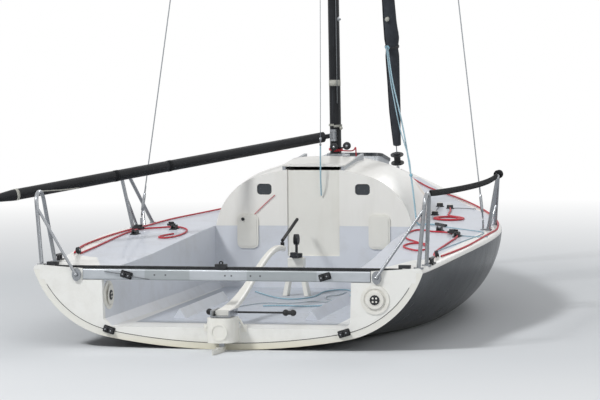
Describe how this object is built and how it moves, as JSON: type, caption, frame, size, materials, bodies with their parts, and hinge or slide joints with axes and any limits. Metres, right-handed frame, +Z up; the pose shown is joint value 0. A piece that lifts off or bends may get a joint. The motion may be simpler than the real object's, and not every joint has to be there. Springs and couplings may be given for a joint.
{
  "type": "open-transom sailing sportboat",
  "caption": "Sailing sportboat afloat: decked hull with open cockpit and small cabin, keel and bulb, stern-hung rudder and tiller, raked mast, swung-out boom and furled headsail.",
  "frame": {"origin": "on the waterline, on the centreline, over the keel", "axes": "+Z up, +Y forward to the bow, +X starboard"},
  "size_m": [3.0341, 5.988, 10.9064],
  "materials": {
    "topsides": "glossy dark grey gelcoat",
    "gelcoat": "white gelcoat, satin non-skid on the decks",
    "roof_gelcoat": "white gelcoat",
    "port_glass": "dark tinted acrylic",
    "board": "white painted board",
    "runner": "anodised runners",
    "hatch_acrylic": "smoked acrylic lid",
    "locker": "white moulded lids",
    "beam": "satin anodised aluminium",
    "black_alloy": "black anodised",
    "black_plastic": "black nylon",
    "white_plastic": "white plastic",
    "housing": "white moulded housing",
    "stainless": "polished stainless tube",
    "blade": "white faired blade",
    "tiller": "white painted tiller",
    "grip": "black grip",
    "pedestal": "white painted pedestal",
    "spar": "black painted spar",
    "wire": "stainless wire",
    "sailcloth": "black sun strip cloth",
    "keel": "dark faired keel"
  },
  "bodies": {
    "root": {"hull": "topsides", "deck": "gelcoat", "coachroof": "roof_gelcoat", "cabin_ports": "port_glass", "washboard": "board", "hatch_runners": "runner", "fore_hatch_frame": "runner", "bulkhead_lockers": "locker", "traveller_beam": "beam", "traveller_track": "black_alloy", "track_stops": "black_plastic", "cam_cleats": "black_plastic", "inspection_hatches": "white_plastic", "rudder_housing": "housing", "mainsheet_pedestal": "pedestal", "swivel_cleat": "black_plastic", "ratchet_block": "black_plastic", "stern_hoop_port": "stainless", "stern_hoop_starboard": "stainless", "side_hoop_port": "stainless", "side_hoop_starboard": "stainless", "mast": "spar", "mast_step": "beam", "spreaders": "spar", "shrouds": "wire", "chainplates": "stainless", "forestay": "wire", "furler_drum": "black_plastic", "furled_jib": "sailcloth", "stem_fitting": "stainless", "gooseneck": "stainless", "keel_fin": "keel", "keel_bulb": "keel", "sheet_leads": "black_plastic", "mooring_cleats": "black_alloy"},
    "sliding_hatch": {"sliding_hatch": "hatch_acrylic"},
    "fore_hatch": {"fore_hatch": "hatch_acrylic"},
    "traveller_car": {"traveller_car": "black_plastic"},
    "rudder": {"rudder_head": "stainless", "rudder_blade": "blade", "tiller": "tiller", "tiller_joint": "grip", "tiller_extension": "grip", "cross_bar": "black_plastic"},
    "boom_toggle": {"boom_toggle": "stainless"},
    "boom": {"boom": "spar"}
  },
  "joints": [
    {"name": "boom_swing", "type": "hinge", "parent": "root", "child": "boom_toggle", "pos_m": [0, 0.44728, 1.193], "axis": [0, 0, 1], "range_deg": [-16, 84]},
    {"name": "boom_lift", "type": "hinge", "parent": "boom_toggle", "child": "boom", "pos_m": [-0.03559, 0.39451, 1.18631], "axis": [-0.829, 0.5592, 0], "range_deg": [0, 14]},
    {"name": "rudder_turn", "type": "hinge", "parent": "root", "child": "rudder", "pos_m": [0, -2.79, 0.14], "axis": [0, 0, 1], "range_deg": [-22, 22]},
    {"name": "car_slide", "type": "slide", "parent": "root", "child": "traveller_car", "axis": [1, 0, 0], "range_m": [-0.997, 1.063]},
    {"name": "hatch_slide", "type": "slide", "parent": "root", "child": "sliding_hatch", "axis": [0, 0.9962, 0.0872], "range_m": [0, 0.27]},
    {"name": "fore_hatch_lid", "type": "hinge", "parent": "root", "child": "fore_hatch", "pos_m": [0, 1.55744, 0.95311], "axis": [-1, 0, 0], "range_deg": [0, 80]}
  ]
}
